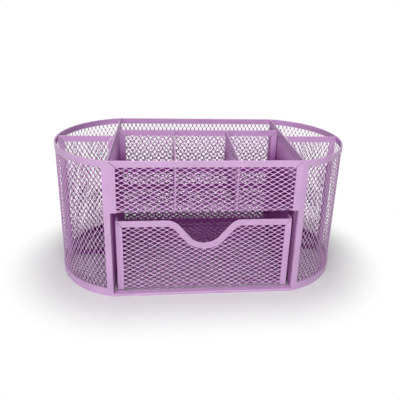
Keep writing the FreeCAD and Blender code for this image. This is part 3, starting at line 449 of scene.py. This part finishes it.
ALL_CORNERS = ((0, 2), (1, 2), (0, 3), (1, 3))


def across(node, body, upright=False, mitres=ALL_CORNERS):
    """Sheet that stands along X."""
    low, high, centre = middle(node)
    y = centre[1]
    diamond_sheet(
        node,
        body,
        lambda u, v, h: (u, y - h, v),
        (low[0], high[0], low[2], high[2]),
        upright,
        mitres=mitres,
    )


def deep(node, body, upright=False, mitres=ALL_CORNERS):
    """Sheet that stands along Y."""
    low, high, centre = middle(node)
    x = centre[0]
    diamond_sheet(
        node,
        body,
        lambda u, v, h: (x + h, u, v),
        (low[1], high[1], low[2], high[2]),
        upright,
        mitres=mitres,
    )


def bowed(node, direction):
    """Curved end sheet, rolled about an upright axis. Its pattern runs on into the back's."""
    low, high, _ = middle(node)
    rolled = END_RADIUS - GAUGE - SHEET / 2
    front = -rolled * (END_HALF_ANGLE - GAUGE / END_RADIUS)
    rear = rolled * END_HALF_ANGLE

    def surface(u, v, h):
        turn = u / rolled
        return (
            direction * (END_CENTRE + (rolled + h) * np.cos(turn)),
            (rolled + h) * np.sin(turn),
            v,
        )

    in_step = rear - SHORT_PITCH / 2 - (front + rear) / 2
    diamond_sheet(
        node,
        "stand",
        surface,
        (front, rear, low[2], high[2]),
        upright=True,
        shift=(in_step % SHORT_PITCH, 0),
        mitres=((0, 2), (0, 3)),
        strand=END_STRAND,
    )


across("middle_wall_mesh", "stand")
across("back_mesh", "stand", upright=True, mitres=())
for panel in ("left_pocket_divider_mesh", "right_pocket_divider_mesh"):
    across(panel, "stand", upright=True)
for panel in ("left_partition_mesh", "right_partition_mesh"):
    deep(panel, "stand", upright=True)
for panel in ("left_pen_divider_mesh", "right_pen_divider_mesh"):
    deep(panel, "stand")
for panel in ("drawer_left_mesh", "drawer_right_mesh"):
    deep(panel, "drawer", mitres=())
bowed("left_end_mesh", -1)
bowed("right_end_mesh", 1)


def fold_lines(start):
    """Places across a fold at which its strands are divided."""
    length = math.pi / 2 * FOLD_MIDDLE
    return [start + length * share for share in (0.0, 0.25, 0.5, 0.75, 1.0)]


def base_sheet():
    low, high, centre = middle("base_mesh")
    inset = HALF_DEPTH - high[1]
    radius = END_RADIUS - inset

    def trim(x, y):
        edge = END_CENTRE + np.sqrt(np.maximum(radius**2 - y**2, 0.0))
        return np.clip(x, -edge, edge), y

    diamond_sheet(
        "base_mesh",
        "stand",
        lambda u, v, h: (u, v, centre[2] + h),
        (low[0], high[0], low[1], high[1]),
        trim=trim,
    )


def front_and_shelf():
    """Upper front, the shelf behind it and the drawer bay's back, one folded sheet."""
    low, high, _ = middle("front_mesh")
    wall_y = low[1] + SHEET / 2
    bay_y = high[1] - SHEET / 2
    shelf_z = SHELF_HEIGHT + SHEET / 2
    bend = math.pi / 2 * FOLD_MIDDLE
    drop = high[2] - shelf_z - FOLD_MIDDLE
    run = bay_y - wall_y - 2 * FOLD_MIDDLE
    second = drop + bend + run
    length = second + bend + shelf_z - FOLD_MIDDLE - low[2]

    def surface(u, v, h):
        turn = np.clip((v - drop) / FOLD_MIDDLE, 0.0, math.pi / 2)
        back_turn = np.clip((v - second) / FOLD_MIDDLE, 0.0, math.pi / 2)
        outer, inner = FOLD_MIDDLE + h, FOLD_MIDDLE - h
        level = np.clip(v - drop - bend, 0.0, run)
        y = wall_y + FOLD_MIDDLE - outer * np.cos(turn) + level + inner * np.sin(back_turn)
        z = (
            shelf_z
            + FOLD_MIDDLE
            - outer * np.sin(turn)
            + np.maximum(drop - v, 0.0)
            - inner * (1 - np.cos(back_turn))
            - np.maximum(v - second - bend, 0.0)
        )
        return u, y, z

    diamond_sheet(
        "front_mesh",
        "stand",
        surface,
        (low[0], high[0], 0.0, length),
        folds=fold_lines(drop) + fold_lines(second),
        mitres=((0, 2), (1, 2)),
        strand=FOLDED_STRAND,
    )


def notch_depth(x):
    """How far the drawer's rim dips at a distance x from its middle, in millimetres."""
    shoulder, depth, shoulder_radius, bottom_radius = 27.3, 18.3, 12.0, 13.8
    height = bottom_radius - depth + shoulder_radius
    slope = math.asin((shoulder_radius + bottom_radius) / math.hypot(shoulder, height))
    slope -= math.atan2(height, shoulder)
    x = abs(x)
    from_bottom = bottom_radius * math.sin(slope)
    from_shoulder = shoulder - shoulder_radius * math.sin(slope)
    hollow = depth - bottom_radius + np.sqrt(np.maximum(bottom_radius**2 - x**2, 0.0))
    round_over = shoulder_radius - np.sqrt(
        np.maximum(shoulder_radius**2 - (shoulder - x) ** 2, 0.0)
    )
    start = shoulder_radius * (1 - math.cos(slope))
    line = start + (from_shoulder - x) * math.tan(slope)
    dip = np.where(x < from_bottom, hollow, np.where(x < from_shoulder, line, round_over))
    return np.where(x > shoulder, 0.0, dip)


def tray():
    """Face, floor and back of the drawer, one folded sheet."""
    low, high, _ = middle("drawer_tray_mesh")
    front_y = low[1] + SHEET / 2
    rear_y = high[1] - SHEET / 2
    floor_z = low[2] + SHEET / 2
    bend = math.pi / 2 * FOLD_MIDDLE
    drop = high[2] - floor_z - FOLD_MIDDLE
    run = rear_y - front_y - 2 * FOLD_MIDDLE
    second = drop + bend + run
    length = second + bend + drop
    rim_cover = 1.2  # how much lower than the notch's edge the sheet begins, under its strip
    shallowest = 0.1  # the dip from which it does

    def trim(x, y):
        depth = notch_depth(x)
        dip = np.where(depth > shallowest, depth + rim_cover, 0.0)
        return x, np.where(y < drop, np.maximum(y, dip), y)

    def surface(u, v, h):
        turn = np.clip((v - drop) / FOLD_MIDDLE, 0.0, math.pi / 2)
        back_turn = np.clip((v - second) / FOLD_MIDDLE, 0.0, math.pi / 2)
        radius = FOLD_MIDDLE + h
        level = np.clip(v - drop - bend, 0.0, run)
        y = front_y + FOLD_MIDDLE - radius * np.cos(turn) + level + radius * np.sin(back_turn)
        z = (
            floor_z
            + FOLD_MIDDLE
            - radius * np.sin(turn)
            + np.maximum(drop - v, 0.0)
            + radius * (1 - np.cos(back_turn))
            + np.maximum(v - second - bend, 0.0)
        )
        return u, y, z

    diamond_sheet(
        "drawer_tray_mesh",
        "drawer",
        surface,
        (low[0], high[0], 0.0, length),
        trim=trim,
        folds=fold_lines(drop) + fold_lines(second),
        mitres=((0, 2), (1, 2)),
        strand=FOLDED_STRAND,
    )


base_sheet()
front_and_shelf()
tray()


# ---------------------------------------------------------------- floor, light and camera


def shown(tree):
    """1 where the background is looked at, directly or in a gloss."""
    ray = tree.nodes.new("ShaderNodeLightPath")
    seen = maths(tree, "MAXIMUM", ray.outputs["Is Camera Ray"], ray.outputs["Is Glossy Ray"])
    return maths(tree, "MAXIMUM", seen, ray.outputs["Is Transmission Ray"])


def floor():
    """Plain pale floor. Near the object it keeps the shadow, and farther out it turns white."""
    mesh = bpy.data.meshes.new("floor")
    reach = 12.0
    mesh.from_pydata(
        [(-reach, -reach, 0), (reach, -reach, 0), (reach, reach, 0), (-reach, reach, 0)],
        [],
        [(0, 1, 2, 3)],
    )
    ground = bpy.data.objects.new("floor", mesh)
    bpy.context.scene.collection.objects.link(ground)
    material, tree, shader = node_tree("floor_white")
    shader.inputs["Base Color"].default_value = FLOOR_COLOUR
    shader.inputs["Roughness"].default_value = 0.9
    shader.inputs["Specular IOR Level"].default_value = 0.1
    white = add(tree, "ShaderNodeEmission", Strength=1.0)
    place = tree.nodes.new("ShaderNodeTexCoord")
    parts = tree.nodes.new("ShaderNodeSeparateXYZ")
    tree.links.new(place.outputs["Object"], parts.inputs["Vector"])
    from_middle = maths(tree, "ABSOLUTE", parts.outputs["X"])
    distance, _ = outline_distance(tree, from_middle, parts.outputs["Y"])
    edge = END_RADIUS * MM
    far = rise(tree, distance, edge, edge + FLOOR_FADE)
    share = maths(tree, "MULTIPLY", far, shown(tree))
    blend = tree.nodes.new("ShaderNodeMixShader")
    tree.links.new(share, blend.inputs["Fac"])
    tree.links.new(shader.outputs["BSDF"], blend.inputs[1])
    tree.links.new(white.outputs["Emission"], blend.inputs[2])
    tree.links.new(blend.outputs["Shader"], tree.nodes["Material Output"].inputs["Surface"])
    mesh.materials.append(material)


def surroundings():
    world = bpy.data.worlds.new("studio")
    bpy.context.scene.world = world
    world.use_nodes = True
    tree = world.node_tree
    background = tree.nodes["Background"]
    background.inputs["Color"].default_value = (1.0, 1.0, 1.0, 1.0)
    strength = rise(tree, shown(tree), 0.0, 1.0, WORLD_LIGHT, 1.0, smooth=False)
    tree.links.new(strength, background.inputs["Strength"])


def softbox(name, place, size, power):
    """Soft lamp that is aimed at the object and isn't seen itself."""
    light = bpy.data.lights.new(name, "AREA")
    light.shape = "RECTANGLE"
    light.size, light.size_y = size
    light.energy = power
    lamp = bpy.data.objects.new(name, light)
    lamp.location = place
    lamp.visible_camera = False
    aim = Vector(LAMP_AIM) - Vector(place)
    lamp.rotation_euler = aim.to_track_quat("-Z", "Y").to_euler()
    bpy.context.scene.collection.objects.link(lamp)


def camera():
    """Camera at the photograph's viewing angle."""
    yaw, pitch, roll = (math.radians(angle) for angle in CAMERA_ANGLES)
    forward = Vector(
        (math.sin(yaw) * math.cos(pitch), math.cos(yaw) * math.cos(pitch), -math.sin(pitch))
    )
    right = Vector((math.cos(yaw), -math.sin(yaw), 0.0))
    down = forward.cross(right)
    turned_right = right * math.cos(roll) + down * math.sin(roll)
    turned_down = down * math.cos(roll) - right * math.sin(roll)
    lens = bpy.data.cameras.new("camera")
    lens.sensor_width = SENSOR_WIDTH
    lens.lens = SENSOR_WIDTH * FOCAL_LENGTH / PHOTO_WIDTH
    lens.shift_x = (PHOTO_WIDTH / 2 - PRINCIPAL_POINT[0]) / PHOTO_WIDTH
    lens.shift_y = (PRINCIPAL_POINT[1] - PHOTO_WIDTH / 2) / PHOTO_WIDTH
    lens.clip_start = 0.01
    eye = bpy.data.objects.new("camera", lens)
    matrix = Matrix.Identity(4)
    matrix.col[0][:3] = turned_right
    matrix.col[1][:3] = -turned_down
    matrix.col[2][:3] = -forward
    matrix.col[3][:3] = Vector(CAMERA_PLACE) * MM
    eye.matrix_world = matrix
    bpy.context.scene.collection.objects.link(eye)
    bpy.context.scene.camera = eye


floor()
surroundings()
softbox("key_light", (0.0, -0.60, 0.50), (0.35, 0.27), 2.8)
softbox("side_light", (-1.8, -2.4, 1.45), (1.6, 1.2), 33.0)
softbox("top_light", (0, -0.1, 1.5), (0.65, 0.50), 5.2)
softbox("rear_light", (0.0, 1.2, 1.45), (0.80, 0.60), 3.5)
camera()
bpy.context.scene.view_settings.view_transform = "Standard"
